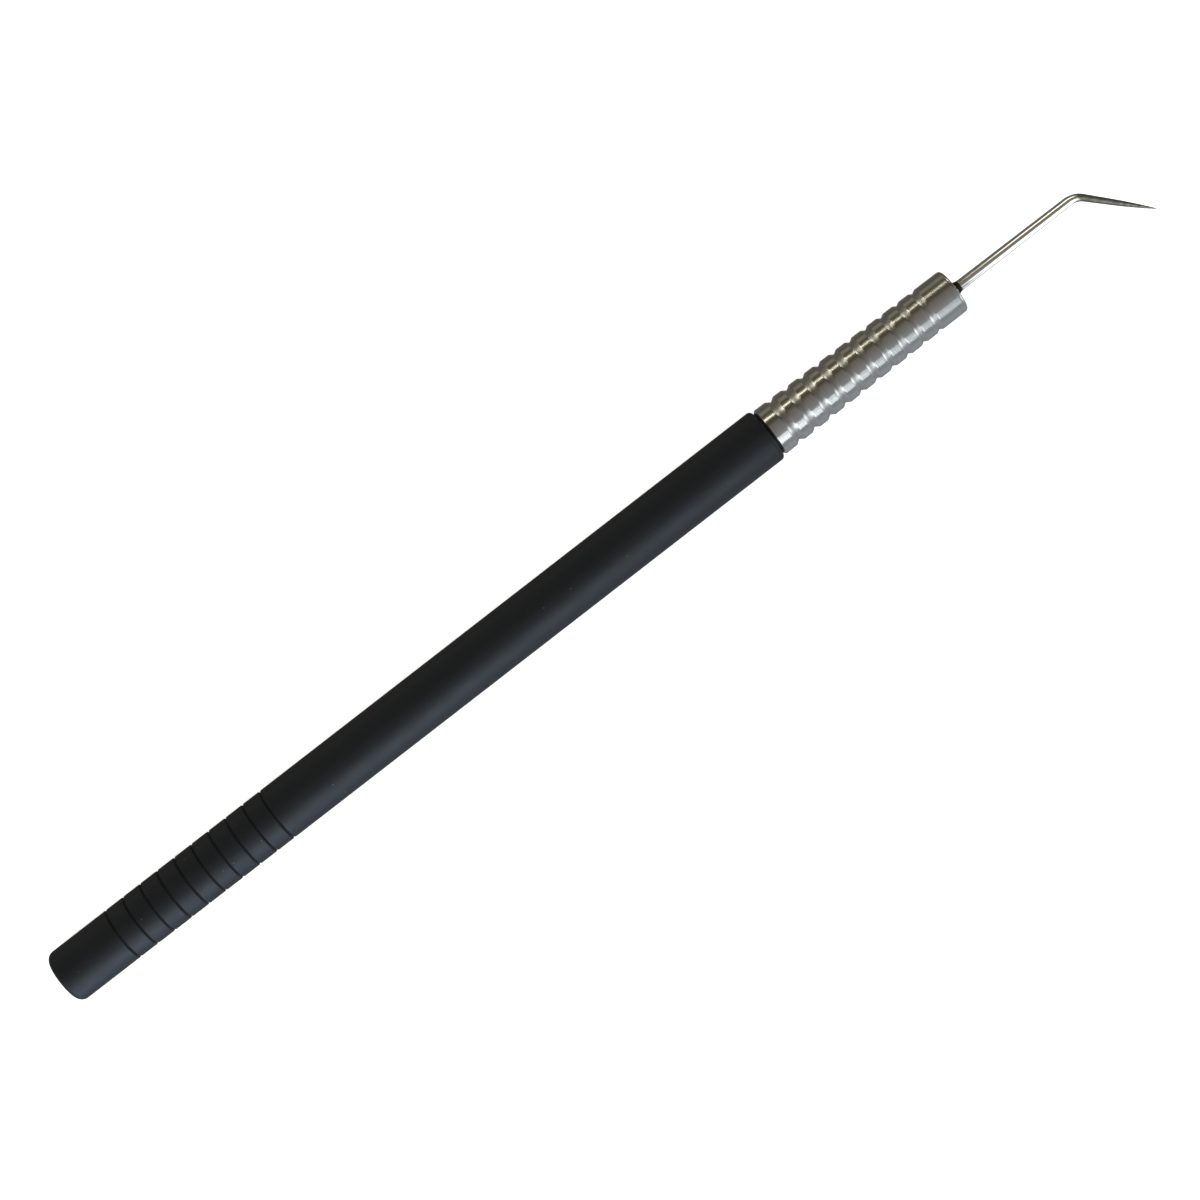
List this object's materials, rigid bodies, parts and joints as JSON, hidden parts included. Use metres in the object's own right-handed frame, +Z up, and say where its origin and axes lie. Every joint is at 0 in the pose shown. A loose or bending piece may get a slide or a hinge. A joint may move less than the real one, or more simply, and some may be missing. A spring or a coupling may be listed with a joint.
{
  "type": "bent-point scratch awl",
  "caption": "Slim scratch awl: a fine tapered steel needle with an angled point, held in a ring-grooved steel collar at the front of a plain round black handle.",
  "frame": {"origin": "on the handle's axis, in the middle of the grip's plain stretch, where a rack or clip holds it", "axes": "+X along the handle from the tail towards the point, and +Z up when the awl rests on a bench on the underside of its grip and on its point, with the bend towards -Y"},
  "size_m": [0.1611, 0.0107, 0.007],
  "materials": {
    "grip": "soft-touch matt black",
    "core": "drawn, plain",
    "plug": "moulded, plain",
    "collar": "fine-turned satin steel",
    "needle": "polished and lengthwise ground steel",
    "bond": "hard dark resin"
  },
  "bodies": {
    "root": {"grip_sleeve": "grip", "core_tube": "core", "tail_plug": "plug", "collar": "collar", "needle": "needle", "needle_bond": "bond"}
  },
  "joints": []
}
